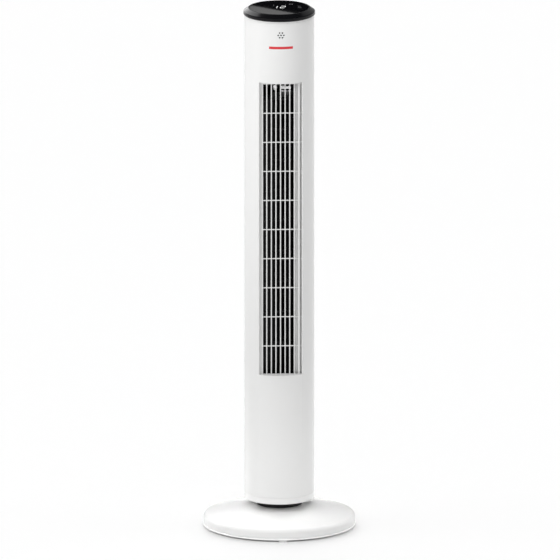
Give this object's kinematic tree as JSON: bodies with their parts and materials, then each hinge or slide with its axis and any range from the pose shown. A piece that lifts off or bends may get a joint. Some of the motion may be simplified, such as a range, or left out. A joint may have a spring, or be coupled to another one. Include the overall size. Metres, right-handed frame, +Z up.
{
  "type": "tower fan",
  "caption": "Slim round tower fan on a wide round base: a caged cross-flow impeller blows through a tall front grille while the tower swings.",
  "frame": {"origin": "centre of the base on the floor", "axes": "+Z up along the tower, the air outlet faces -Y, +X is to the right of someone facing the outlet"},
  "size_m": [0.295, 0.295, 1.0254],
  "materials": {
    "white_plastic": "white injection-moulded plastic, satin",
    "black_plastic": "black moulded plastic, satin",
    "gloss_black": "polished black panel",
    "rubber": "soft black rubber",
    "white_rubber": "soft white rubber",
    "steel": "zinc-plated steel",
    "lamination": "stacked steel laminations",
    "acetal": "natural acetal",
    "bronze": "sintered bronze",
    "board": "green circuit board",
    "capacitor_case": "dark moulded capacitor case"
  },
  "bodies": {
    "base": {"base_cover": "white_plastic", "base_plate": "white_plastic", "base_weight": "steel", "centre_post": "black_plastic", "neck_collar": "black_plastic", "thrust_washer": "acetal", "retaining_ring": "steel", "slotted_arm": "steel", "cord_gland": "rubber", "foot_1": "white_rubber", "foot_2": "white_rubber", "foot_3": "white_rubber", "foot_4": "white_rubber", "foot_5": "white_rubber", "base_screw_1": "steel", "base_screw_2": "steel", "base_screw_3": "steel"},
    "tower": {"bottom_cap": "white_plastic", "swivel_disc": "acetal", "swing_bracket": "steel", "swing_motor": "steel", "front_shell": "white_plastic", "rear_shell": "white_plastic", "grip_shell": "white_plastic", "outlet_grille": "white_plastic", "duct_scroll": "white_plastic", "duct_tongue": "white_plastic", "duct_floor": "black_plastic", "duct_ceiling": "black_plastic", "motor_can_lower": "steel", "motor_can_upper": "steel", "motor_stator": "lamination", "run_capacitor": "capacitor_case", "bearing_plate": "black_plastic", "bearing_retainer": "white_plastic", "bearing_rubber": "rubber", "bearing_bush": "bronze", "grip_cup": "white_plastic", "control_board": "board", "display_module": "white_plastic", "buzzer": "black_plastic", "trim_ring": "white_plastic", "top_cap": "black_plastic", "touch_panel": "gloss_black", "swivel_screw_1": "steel", "motor_mount_1": "rubber", "swivel_screw_2": "steel", "motor_mount_2": "rubber", "motor_mount_3": "rubber", "shell_screw_1": "steel", "shell_screw_2": "steel", "shell_screw_3": "steel", "shell_screw_4": "steel"},
    "impeller": {"impeller": "black_plastic", "impeller_hub": "black_plastic", "impeller_end_disc": "black_plastic", "end_pin": "steel", "motor_shaft": "steel", "motor_rotor": "lamination"},
    "crank": {"crank": "acetal"}
  },
  "joints": [
    {"name": "tower_swivel", "type": "hinge", "parent": "base", "child": "tower", "pos_m": [0, 0, 0.055], "axis": [0, 0, 1], "range_deg": [-35, 35]},
    {"name": "impeller_spin", "type": "hinge", "parent": "tower", "child": "impeller", "pos_m": [-0.008, 0.008, 0.3], "axis": [0, 0, 1], "continuous": true},
    {"name": "crank_turn", "type": "hinge", "parent": "tower", "child": "crank", "pos_m": [0, 0.028, 0.08], "axis": [0, 0, 1], "range_deg": [-97, 97]}
  ],
  "couplings": [
    {"joint": "crank_turn", "follows": "tower_swivel", "ratio": -2.75}
  ]
}
